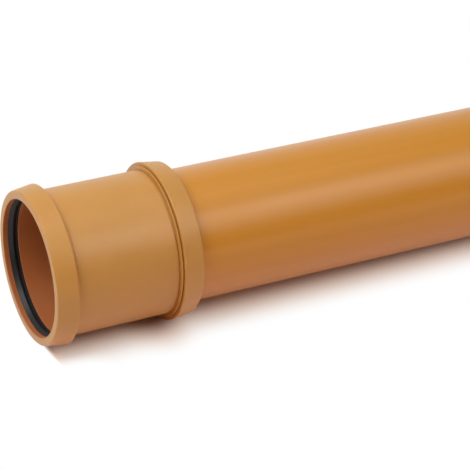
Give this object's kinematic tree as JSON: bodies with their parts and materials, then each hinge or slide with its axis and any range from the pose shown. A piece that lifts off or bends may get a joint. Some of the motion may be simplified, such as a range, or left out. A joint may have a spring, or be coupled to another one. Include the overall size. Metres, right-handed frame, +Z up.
{
  "type": "plastic ventilation pipe",
  "caption": "Straight round plastic pipe lying on the floor, with a double-socket coupler on one end whose open mouth takes the next pipe against a rubber lip seal.",
  "frame": {"origin": "centre of the base of the part's box, on the floor that it lies on", "axes": "+Z up from the floor; the pipe runs along X with its open socket at the -X end, and its axis dips 0.98 degrees towards +X because it lies on the coupler's collar and on the pipe's far end"},
  "size_m": [1.0968, 0.1916, 0.1939],
  "materials": {
    "pipe_plastic": "extruded, semi-gloss, orange-brown",
    "coupler_plastic": "injection moulded, matt, orange-brown",
    "seal_rubber": "moulded black rubber, satin"
  },
  "bodies": {
    "root": {"pipe": "pipe_plastic", "coupler_body": "coupler_plastic", "mouth_retaining_ring": "coupler_plastic", "pipe_retaining_ring": "coupler_plastic", "mouth_seal": "seal_rubber", "pipe_seal": "seal_rubber"}
  },
  "joints": []
}
